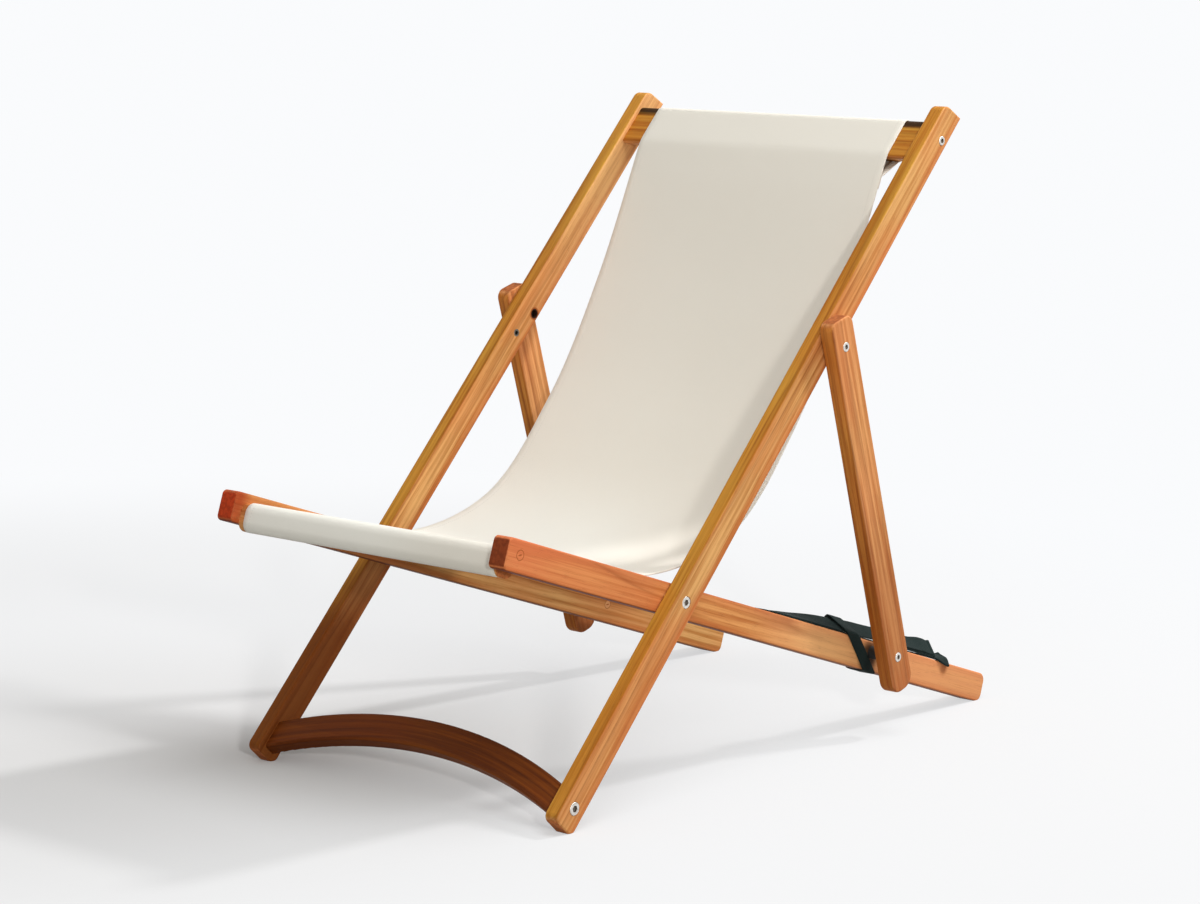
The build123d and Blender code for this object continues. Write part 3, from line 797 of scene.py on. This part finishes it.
slingCut = {
    "width": 0.450,
    "thickness": 0.0007,
    "offWood": 0.00115,     # middle of the cloth to the rail that it wraps
    "sideHem": 0.014,
    "hemFold": 0.00075,     # middle of one layer to the middle of the next
    "frontDip": -3.0,       # degrees the cloth leaves the front rail, off the seat rails
    "topRise": 18.0,        # degrees it reaches the top rail, off the back rails
    "seamTurn": 250,        # degrees where it comes round under the front rail
    "heelTurn": -140,       # and where it leaves the top rail at the back
    "steps": {"seam": 9, "front": 12, "leave": 2, "arrive": 6, "corner": 9, "heel": 6, "hang": 24},
    # places on the hanging cloth, as shares of the line between the rails: along it and below it
    "shape": ((0.20, 0.206), (0.40, 0.284), (0.60, 0.238), (0.80, 0.136)),
    "frontRadius": 0.013,
    "topRadius": 0.009,
    "topTipRadius": 0.004,
    "topBend": 0.045,       # radius of the bend where it reaches the top rail
    "frontSeam": 0.030,     # from the front rail back to the seam
    "topSeam": 0.026,
    "seamLap": 0.018,
    "rowPitch": 0.008,
    "columns": 52,
    "middleSag": 0.019,
    "sagEase": 1.2,
    "ripple": 0.0011,
    "slowWaver": (7.0, 2.2, 3.7, 1.6),      # rates across and along, a seed and a height
    "edgeWaver": (26.0, 9.0, 8.1, 0.5),     # the same, near the side edges
    "skew": 0.004,          # the seat end lies this far towards the near rail
}
threadCut = {
    "pitch": 0.0042,
    "length": 0.0015,
    "radius": 0.00030,
    "fromHem": 0.0025,
    "paint": (0.760, 0.735, 0.675),
    "shade": 0.8,
    "twist": (1800.0, 2.0),
    "roughness": 0.7,
}
acrossChair = Vector((1, 0, 0))


def sectionCorner(view, node, edge, high, radius):
    # middle of a rail's rounded corner: edge is its front or rear face, high its upper end
    low, top = view.reach(node, view.across)
    face = top if edge == "front" else low
    ends = []
    for vertex in frame["nodes"][node].data.vertices:
        place = vertex.co - view.origin
        if abs(place.dot(view.across) - face) < chair["faceSlack"]:
            ends.append(place.dot(view.along))
    inward = -radius if edge == "front" else radius
    return (max(ends) if high else min(ends)), face + inward


def lengthsOf(rows):
    lengths = [0.0]
    for first, second in zip(rows[:-1], rows[1:]):
        lengths.append(lengths[-1] + (second - first).length)
    return lengths


def waver(first, second, wave):
    # a smooth unevenness over two measures
    firstRate, secondRate, seed, height = wave
    return noise.noise(Vector((first * firstRate, second * secondRate, seed))) * height


def backOf(way):
    # the side of the cloth that nobody sits on
    return way.cross(acrossChair).normalized()


class SlingCloth:
    # the whole strip in the side view, from its seam under the seat round both rails
    def __init__(self):
        cut = slingCut
        roll, hang, wrap = self.mainRun()
        self.hang = hang
        topFar = lengthsOf(hang)[-1] - cut["topSeam"]
        frontLap = self.lap(cut["frontSeam"] + cut["seamLap"], cut["frontSeam"])
        topLap = self.lap(topFar, topFar - cut["seamLap"])
        self.rows = spread(frontLap + roll + hang[1:] + wrap[1:] + topLap, cut["rowPitch"])
        self.lengths = lengthsOf(self.rows)
        last = len(self.rows) - 1
        self.ways = [
            (self.rows[min(i + 1, last)] - self.rows[max(i - 1, 0)]).normalized()
            for i in range(last + 1)
        ]
        self.hangFrom = self.lengthAt(hang[0])
        self.hangTo = self.lengthAt(hang[-1])

    def mainRun(self):
        cut, steps = slingCut, slingCut["steps"]
        frontR = cut["frontRadius"] + cut["offWood"]
        topR = cut["topRadius"] + cut["offWood"]
        tipR = cut["topTipRadius"] + cut["offWood"]
        rail, board, r = "front_rail", "top_rail", cut["frontRadius"]
        low, high = seatView.reach(rail, seatView.along)
        bottom, top = seatView.reach(rail, seatView.across)
        leaveTurn = 90 + cut["frontDip"]
        roll = arc(seatView, (low + r, bottom + r), frontR, cut["seamTurn"], 180, steps["seam"])
        roll += arc(seatView, (low + r, top - r), frontR, 180, 90, steps["front"])
        roll += arc(seatView, (high - r, top - r), frontR, 90, leaveTurn, steps["leave"])
        tip = sectionCorner(backView, board, "front", False, cut["topTipRadius"])
        shoulder = sectionCorner(backView, board, "front", True, cut["topRadius"])
        rear = sectionCorner(backView, board, "rear", True, cut["topRadius"])
        heel = sectionCorner(backView, board, "rear", False, cut["topRadius"])
        wider = cut["topBend"] - tipR
        bend = (tip[0] + wider * sin(radians(cut["topRise"] / 2)), tip[1] - wider)
        wrap = arc(backView, bend, cut["topBend"], 90 + cut["topRise"], 90, steps["arrive"])
        wrap += arc(backView, shoulder, topR, 90, 0, steps["corner"])
        wrap += arc(backView, rear, topR, 0, -90, steps["corner"])
        wrap += arc(backView, heel, topR, -90, cut["heelTurn"], steps["heel"])
        leave, arrive = roll[-1], wrap[0]
        chord = arrive - leave
        down = backOf(chord.normalized()) * chord.length
        points = [leave + chord * share + down * depth for share, depth in cut["shape"]]
        hang = curveThrough(
            [leave, *points, arrive],
            seatView.turned(cut["frontDip"]),
            backView.turned(cut["topRise"]),
            steps["hang"],
        )
        return roll, hang, wrap

    def lap(self, start, end, steps=4):
        # a layer behind the hanging cloth and both hems, between two distances along it
        behind = slingCut["hemFold"] * 3
        layer = []
        for step in range(steps + 1):
            spot, way = pointAt(self.hang, start + (end - start) * step / steps)
            layer.append(spot + backOf(way) * behind)
        return layer

    def lengthAt(self, point):
        nearest = min(range(len(self.rows)), key=lambda i: (self.rows[i] - point).length)
        return self.lengths[nearest]

    def spot(self, x, length, behind=0.0):
        # a place on the cloth, and the way the cloth runs there
        cut = slingCut
        row = min(max(bisect(self.lengths, length) - 1, 0), len(self.rows) - 2)
        step = self.lengths[row + 1] - self.lengths[row]
        part = (length - self.lengths[row]) / step
        base = self.rows[row].lerp(self.rows[row + 1], part)
        way = self.ways[row].lerp(self.ways[row + 1], part).normalized()
        # the cloth sags between its two seams
        first = self.hangFrom + cut["frontSeam"] + cut["seamLap"]
        last = self.hangTo - cut["topSeam"] - cut["seamLap"]
        share = (length - first) / (last - first)
        push = behind
        if 0 < share < 1:
            ease = sin(pi * share) ** cut["sagEase"]
            side = min(abs(x) / (cut["width"] / 2), 1.0)
            uneven = waver(x, length, cut["slowWaver"])
            uneven += waver(x, length, cut["edgeWaver"]) * side ** 3
            push += cut["middleSag"] * ease * (1 - side ** 2) + cut["ripple"] * ease * uneven
        skew = cut["skew"] * (1 - min(max(share, 0.0), 1.0))
        return base + acrossChair * (x + skew) + backOf(way) * push, way


def gridPiece(columns, rows, place):
    # a strip whose points and flat measures come from place(column, row)
    mesh = bmesh.new()
    bmesh.ops.create_grid(mesh, x_segments=columns - 1, y_segments=rows - 1, size=1)
    flat = mesh.loops.layers.uv.new("flat")
    measures = {}
    for vertex in mesh.verts:
        column = round((vertex.co.x + 1) / 2 * (columns - 1))
        row = round((vertex.co.y + 1) / 2 * (rows - 1))
        vertex.co, measures[vertex] = place(column, row)
    for face in mesh.faces:
        for loop in face.loops:
            loop[flat].uv = measures[loop.vert]
    return mesh


def pointAt(line, distance):
    # the place and direction at a distance along a line
    gone = 0.0
    for first, second in zip(line[:-1], line[1:]):
        step = (second - first).length
        if gone + step >= distance:
            return first.lerp(second, (distance - gone) / step), (second - first).normalized()
        gone += step
    return line[-1].copy(), (line[-1] - line[-2]).normalized()


def buildSling(cloth):
    cut = slingCut
    half = cut["width"] / 2
    # across the cloth: the folded side hem, its turn, and the face
    hem = [(-half + cut["sideHem"], 1.0), (-half + cut["sideHem"] / 2, 1.0)]
    hem += [(-half + cut["hemFold"] / 2, 1.0), (-half, 0.5), (-half + cut["hemFold"] / 2, 0.0)]
    face = [(cut["width"] * c / cut["columns"] - half, 0.0) for c in range(1, cut["columns"])]
    across = hem + face + [(-x, layer) for x, layer in reversed(hem)]
    flatAcross = [0.0]
    for (x0, layer0), (x1, layer1) in zip(across[:-1], across[1:]):
        flatAcross.append(flatAcross[-1] + hypot(x1 - x0, (layer1 - layer0) * cut["hemFold"]))

    def place(column, row):
        x, layer = across[column]
        length = cloth.lengths[row]
        return cloth.spot(x, length, layer * cut["hemFold"])[0], (flatAcross[column], length)

    mesh = gridPiece(len(across), len(cloth.rows), place)
    sling = pieceFrom(mesh, "canvas_sling", canvas)
    thicken(sling, cut["thickness"])
    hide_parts("sling")
    stitches = buildStitches(cloth)
    for piece in (sling, stitches):
        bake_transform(piece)
    print("sling cut", round(flatAcross[-1], 4), round(cloth.lengths[-1], 4))


def threadMaterial():
    thread = threadCut
    graph = Graph(bpy.data.materials.new("canvas thread"))
    place = graph.add("ShaderNodeTexCoord", output="Object")
    twist = graph.grainNoise(place, *thread["twist"])
    shade = tuple(c * thread["shade"] for c in thread["paint"])
    tone = graph.blend(twist, shade, thread["paint"])
    return graph.finish({"Base Color": tone, "Roughness": thread["roughness"]})


def buildStitches(cloth):
    # a row down each side hem, and one across the back of each seam
    cut, thread = slingCut, threadCut
    lift = -cut["thickness"] / 2
    behind = cut["hemFold"] * 3 + cut["thickness"] / 2
    inset = cut["width"] / 2 - cut["sideHem"] + thread["fromHem"]
    places = []
    for step in range(int(cloth.lengths[-1] / thread["pitch"])):
        for x in (-inset, inset):
            places.append((*cloth.spot(x, (step + 0.5) * thread["pitch"], lift), False))
    seams = (
        cloth.hangFrom + cut["frontSeam"] + cut["seamLap"] / 2,
        cloth.hangTo - cut["topSeam"] - cut["seamLap"] / 2,
    )
    for seam in seams:
        for step in range(int(2 * inset / thread["pitch"])):
            x = (step + 0.5) * thread["pitch"] - inset
            places.append((*cloth.spot(x, seam, behind), True))
    mesh = bmesh.new()
    size = Matrix.Diagonal((thread["radius"], thread["length"], thread["radius"], 1))
    for spot, way, sideways in places:
        run = acrossChair if sideways else way
        turn = run.to_track_quat("Y", "X").to_matrix().to_4x4()
        bmesh.ops.create_icosphere(
            mesh, subdivisions=1, radius=1, matrix=Matrix.Translation(spot) @ turn @ size
        )
    stitches = pieceFrom(mesh, "canvas_sling_stitches", threadMaterial())
    return stitches


buildSling(SlingCloth())

# The carry strap: one length of webbing on top of the right seat rail. It lies on its side,
# folds to and fro behind the prop and droops over the rail at its far end. Each station
# is a distance along the rail from the pivot and the heights of the strap's outer and
# inner edges over the rail's top face.
strapCut = {
    "width": 0.025,
    "thickness": 0.0017,
    "rowPitch": 0.004,
    "columns": 12,
    "edgeIn": 0.0018,       # from the rail's outer face in to the strap's outer edge
    "stations": (
        (0.2360, 0.0010, 0.0010), (0.3000, 0.0010, 0.0010), (0.4200, 0.0010, 0.0012),
        (0.5400, 0.0010, 0.0014), (0.6000, 0.0011, 0.0033), (0.6380, 0.0014, 0.0066),
        (0.6470, 0.0022, 0.0087), (0.6380, 0.0026, 0.0108), (0.6000, 0.0027, 0.0100),
        (0.5600, 0.0028, 0.0104), (0.5160, 0.0031, 0.0117), (0.5060, 0.0036, 0.0137),
        (0.5150, 0.0043, 0.0162), (0.5450, 0.0045, 0.0176), (0.5800, 0.0046, 0.0187),
        (0.6060, 0.0046, 0.0194), (0.6145, 0.0052, 0.0219), (0.6060, 0.0060, 0.0246),
        (0.5900, 0.0064, 0.0255), (0.5650, 0.0064, 0.0227), (0.5400, 0.0062, 0.0206),
        (0.5050, 0.0054, 0.0215), (0.4750, 0.0036, 0.0209), (0.4450, 0.0022, 0.0199),
        (0.4120, 0.0020, 0.0192), (0.3760, 0.0020, 0.0169), (0.3410, 0.0020, 0.0149),
        (0.3100, 0.0021, 0.0117), (0.2800, 0.0022, 0.0078), (0.2500, 0.0022, 0.0046),
        (0.2260, 0.0017, 0.0021), (0.2000, 0.0010, 0.0010),
    ),
    "bunchFrom": 0.470,     # from here on the webbing puckers
    "bunchTo": 0.560,
    "pucker": 0.0014,
    "puckerRise": 0.004,    # height over the rail at which the webbing puckers in full
    "broadWave": (75.0, 42.0, 1.3, 1.0),    # rates across and along, a seed and a height
    "fineWave": (170.0, 95.0, 4.1, 0.5),
    "swayWave": (9.0, 5.1, 0.4, 0.0007),
    "flapFrom": 0.600,      # the end that droops over the rail, along it
    "flapTo": 0.640,
    "flapLow": 0.004,       # webbing up to this height droops in full
    "flapHigh": 0.007,      # and from this height on it doesn't droop
    "flapShift": 0.0062,
    "flapHang": 1.10,
    "railRound": 0.0012,    # how far in from the rail's face its rounded edge begins
    "tiltScale": 0.006,     # metres that stand for one radian while the curve is drawn
    "spanSteps": 8,
}
loopCut = {
    "width": 0.031,
    "thickness": 0.0014,
    "along": 0.4325,        # its middle at the height of the rail's own middle
    "lean": 1.25,
    "section": (            # distance out from the rail's middle, and height over it
        (-0.0152, 0.012), (-0.0152, -0.0222), (0.0152, -0.0222), (0.0152, 0.0250),
        (-0.0070, 0.0422), (-0.0168, 0.0370), (-0.0168, -0.006),
    ),
    "cornerRadius": 0.0035,
    "cornerSteps": 6,
    "ripple": (60.0, 30.0, 6.6, 0.0005),    # rates across and along, a seed and a height
    "rowPitch": 0.003,
    "columns": 14,
}


def eased(value, low, high):
    share = min(max((value - low) / (high - low), 0.0), 1.0)
    return share * share * (3 - 2 * share)


def webbingPiece(mesh, name, node, cut, length):
    piece = pieceFrom(mesh, name, strapCloth, "seat_frame")
    thicken(piece, cut["thickness"], 1)
    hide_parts(node)
    print(name, "built, flat length", round(length, 3))


def buildStrap():
    cut = strapCut
    railTop = seatView.reach("seat_rail_right", seatView.across)[1]
    # the stations as points whose third number carries the tilt along the curve
    spots = [
        Vector((along, outer, asin((inner - outer) / cut["width"]) * cut["tiltScale"]))
        for along, outer, inner in cut["stations"]
    ]
    rearwards = Vector((1, 0, 0))
    line = curveThrough(spots, rearwards, -rearwards, cut["spanSteps"])
    rows = spread(line, cut["rowPitch"])
    lengths = lengthsOf(rows)

    def place(column, row):
        share = column / (cut["columns"] - 1)
        along, lift, tilt = rows[row]
        tilt /= cut["tiltScale"]
        inward = cut["width"] * (1 - share)
        bunched = eased(along, cut["bunchFrom"], cut["bunchTo"])
        wave = waver(inward, along, cut["broadWave"]) + waver(inward, along, cut["fineWave"])
        drift = waver(lengths[row], 1, cut["swayWave"])
        low = 1 - eased(lift, cut["flapLow"], cut["flapHigh"])
        flap = eased(along, cut["flapFrom"], cut["flapTo"]) * low
        out = railFace - cut["edgeIn"] + drift + flap * cut["flapShift"] - inward * cos(tilt)
        up = lift + inward * sin(tilt)
        lean = wave * bunched * cut["pucker"]
        out -= lean * sin(tilt)
        up += lean * cos(tilt) * min(up / cut["puckerRise"], 1.0)
        over = max(0.0, out - railFace + cut["railRound"])
        up -= over * flap * cut["flapHang"]
        return seatView.spot(along, railTop + up, out), (cut["width"] * share, lengths[row])

    mesh = gridPiece(cut["columns"], len(rows), place)
    webbingPiece(mesh, "webbing_carry_strap", "carry_strap", cut, lengths[-1])


def rounded(points, radius, steps):
    # the line through the points with its corners turned into short curves
    line = [points[0]]
    for before, corner, after in zip(points[:-2], points[1:-1], points[2:]):
        start = corner + (before - corner).normalized() * radius
        end = corner + (after - corner).normalized() * radius
        for step in range(steps + 1):
            share = step / steps
            line.append(start.lerp(corner, share).lerp(corner.lerp(end, share), share))
    line.append(points[-1])
    return line


def buildLoop():
    cut = loopCut
    middle = middleOf("seat_rail_right").x
    section = [Vector((out, across, 0)) for out, across in cut["section"]]
    line = rounded(section, cut["cornerRadius"], cut["cornerSteps"])
    rows = spread(line, cut["rowPitch"])
    lengths = lengthsOf(rows)
    last = len(rows) - 1

    def place(column, row):
        shift = cut["width"] * (column / (cut["columns"] - 1) - 0.5)
        way = (rows[min(row + 1, last)] - rows[max(row - 1, 0)]).normalized()
        outward = Vector((way.y, -way.x, 0))
        x, across = (rows[row] + outward * waver(shift, lengths[row], cut["ripple"])).xy
        along = cut["along"] + shift - across * cut["lean"]
        return seatView.spot(along, across, middle + x), (shift, lengths[row])

    mesh = gridPiece(cut["columns"], len(rows), place)
    webbingPiece(mesh, "webbing_strap_loop", "strap_loop", cut, lengths[-1])


buildStrap()
buildLoop()

# floor, light and camera
studio = {
    "floorHalf": 40.0,
    "floorPaint": (0.700, 0.703, 0.712),
    "floorBounce": (0.46, 0.455, 0.44),     # what the floor throws back at the object
    "glowPaint": (0.955, 0.965, 0.980),
    "glowAt": (-0.40, -0.60, 0.0),          # where the chair's shadow is deepest
    "glowRings": ((0.05, 1.0, 0.62), (1.25, 2.4, 0.38)),    # from, to, and share of the glow
    "floorRoughness": 0.6,
    "fill": 0.40,
    "fillPaint": (1.0, 0.978, 0.925),
    "lampAim": (0, 0, 0.40),
}
# each lamp's way from the chair, distance, size, power and paint
lamps = {
    "rear_key": ((0.60, 0.92, 1.0), 4.5, 0.50, 120.0, (1.0, 0.99, 0.98)),
    "overhead_soft": ((0.42, -0.02, 1.0), 4.0, 3.0, 90.0, (0.985, 0.99, 1.0)),
    "low_side": ((3.0, -2.3, 1.0), 5.0, 0.35, 54.0, (1.0, 0.98, 0.95)),
}


def glowRays(graph):
    # rays that see the background: from the camera, a gloss or a clear thing
    path = graph.add("ShaderNodeLightPath")
    outputs = path.socket.node.outputs
    seen = Wire(graph, outputs["Is Camera Ray"])
    for name in ("Is Glossy Ray", "Is Transmission Ray"):
        seen = graph.maths("MAXIMUM", seen, Wire(graph, outputs[name]))
    return seen


def shining(graph, kind, paint, strength):
    return graph.add(kind, {}, {"Color": (*studio[paint], 1), "Strength": strength})


def buildFloor():
    graph = Graph(bpy.data.materials.new("pale studio floor"))
    place = graph.add("ShaderNodeTexCoord", output="Object")
    away = graph.measure("DISTANCE", place, studio["glowAt"])
    near, far = (graph.band(away, low, high) * share for low, high, share in studio["glowRings"])
    seen = glowRays(graph)
    amount = seen * (near + far)
    paint = graph.blend(seen, studio["floorBounce"], studio["floorPaint"])
    plain = graph.add(
        "ShaderNodeBsdfDiffuse", {}, {"Color": paint, "Roughness": studio["floorRoughness"]}
    )
    glow = shining(graph, "ShaderNodeEmission", "glowPaint", 1.0)
    mixed = graph.add("ShaderNodeMixShader", {}, {0: amount, 1: plain, 2: glow})
    graph.add("ShaderNodeOutputMaterial", {}, {"Surface": mixed})
    mesh = bmesh.new()
    bmesh.ops.create_grid(mesh, x_segments=4, y_segments=4, size=studio["floorHalf"])
    pieceFrom(mesh, "studio_floor", graph.owner)


def aimed(thing, way, far, target):
    spot = Vector(way).normalized() * far + target
    thing.location = spot
    thing.rotation_mode = "QUATERNION"
    thing.rotation_quaternion = (spot - target).to_track_quat("Z", "Y")


def addLamp(name, way, far, size, power, paint):
    light = bpy.data.lights.new(name, "AREA")
    light.shape = "DISK"
    light.size = size
    light.energy = power
    light.color = paint
    aimed(shown(name, light), way, far, Vector(studio["lampAim"]))


def buildLight():
    for name, lamp in lamps.items():
        addLamp(name, *lamp)
    graph = Graph(bpy.data.worlds.new("studio world"))
    bpy.context.scene.world = graph.owner
    seen = glowRays(graph)
    fill = shining(graph, "ShaderNodeBackground", "fillPaint", studio["fill"])
    white = shining(graph, "ShaderNodeBackground", "glowPaint", 1.0)
    mixed = graph.add("ShaderNodeMixShader", {}, {0: seen, 1: fill, 2: white})
    graph.add("ShaderNodeOutputWorld", {}, {"Surface": mixed})
    bpy.context.scene.view_settings.view_transform = "Standard"
    print("floor and light set")


cameraPlace = {
    "azimuth": 41.18,
    "elevation": 9.31,
    "distance": 4.50286,
    "target": (-0.0029, -0.04046, 0.40655),
    "lens": 98.26,
    "sensor": 36.0,
    "clipEnd": 200.0,
}


def buildCamera():
    place = cameraPlace
    azimuth, elevation = radians(place["azimuth"]), radians(place["elevation"])
    way = (sin(azimuth) * cos(elevation), -cos(azimuth) * cos(elevation), sin(elevation))
    data = bpy.data.cameras.new("photo camera")
    data.lens = place["lens"]
    data.sensor_width = place["sensor"]
    data.dof.use_dof = False
    data.clip_end = place["clipEnd"]
    camera = shown("photo_camera", data)
    aimed(camera, way, place["distance"], Vector(place["target"]))
    bpy.context.scene.camera = camera
    print("camera set")


buildFloor()
buildLight()
buildCamera()
